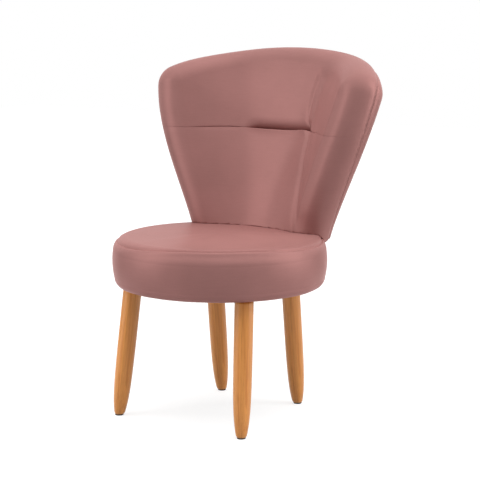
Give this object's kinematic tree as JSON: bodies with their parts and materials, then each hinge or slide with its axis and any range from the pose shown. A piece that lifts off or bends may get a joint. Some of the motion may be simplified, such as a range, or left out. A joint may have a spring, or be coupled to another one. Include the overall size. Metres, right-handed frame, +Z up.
{
  "type": "scallop back chair",
  "caption": "Armless upholstered occasional chair: round drum seat, fan-shaped padded back that curls forward at both sides, turned tapered wooden legs.",
  "frame": {"origin": "middle of the footprint box at floor level", "axes": "+Z up, the chair faces -Y, +X to the right as seen from its front"},
  "size_m": [0.6194, 0.6366, 0.8493],
  "materials": {
    "velvet": "soft napped velvet",
    "leg_oak": "satin, vertical grain",
    "frame_beech": "planed, unfinished",
    "plywood": "sanded, unfinished",
    "foam": "open cell foam",
    "wadding": "soft fibre",
    "webbing": "woven strap",
    "dust_cloth": "thin matt cloth",
    "steel": "zinc plated",
    "glide_plastic": "matt"
  },
  "bodies": {
    "root": {"leg_front_left": "leg_oak", "leg_front_right": "leg_oak", "leg_rear_left": "leg_oak", "leg_rear_right": "leg_oak", "leg_glide_front_left": "glide_plastic", "leg_glide_front_right": "glide_plastic", "leg_glide_rear_left": "glide_plastic", "leg_glide_rear_right": "glide_plastic", "hanger_bolt_front_left": "steel", "hanger_bolt_front_right": "steel", "hanger_bolt_rear_left": "steel", "hanger_bolt_rear_right": "steel", "threaded_insert_front_left": "steel", "threaded_insert_front_right": "steel", "threaded_insert_rear_left": "steel", "threaded_insert_rear_right": "steel", "seat_base_board": "plywood", "seat_ring_frame": "frame_beech", "leg_block_rear_left": "frame_beech", "leg_block_rear_right": "frame_beech", "ring_screw_front": "steel", "ring_screw_right": "steel", "ring_screw_rear": "steel", "ring_screw_left": "steel", "webbing_across_front": "webbing", "webbing_across_middle": "webbing", "webbing_across_rear": "webbing", "webbing_long_left": "webbing", "webbing_long_centre": "webbing", "webbing_long_right": "webbing", "seat_foam": "foam", "seat_wadding": "wadding", "seat_cover_top": "velvet", "seat_cover_band": "velvet", "seat_dust_cover": "dust_cloth", "back_upright_left": "frame_beech", "back_upright_right": "frame_beech", "lag_screw_left_lower": "steel", "lag_screw_left_upper": "steel", "lag_screw_right_lower": "steel", "lag_screw_right_upper": "steel", "back_shell": "plywood", "shell_screw_left_lower": "steel", "shell_screw_left_upper": "steel", "shell_screw_right_lower": "steel", "shell_screw_right_upper": "steel", "back_foam_upper": "foam", "back_foam_lower": "foam", "back_pull_strip": "webbing", "back_foam_rear": "wadding", "back_cover_upper": "velvet", "back_cover_lower": "velvet", "back_cover_rear": "velvet"}
  },
  "joints": []
}
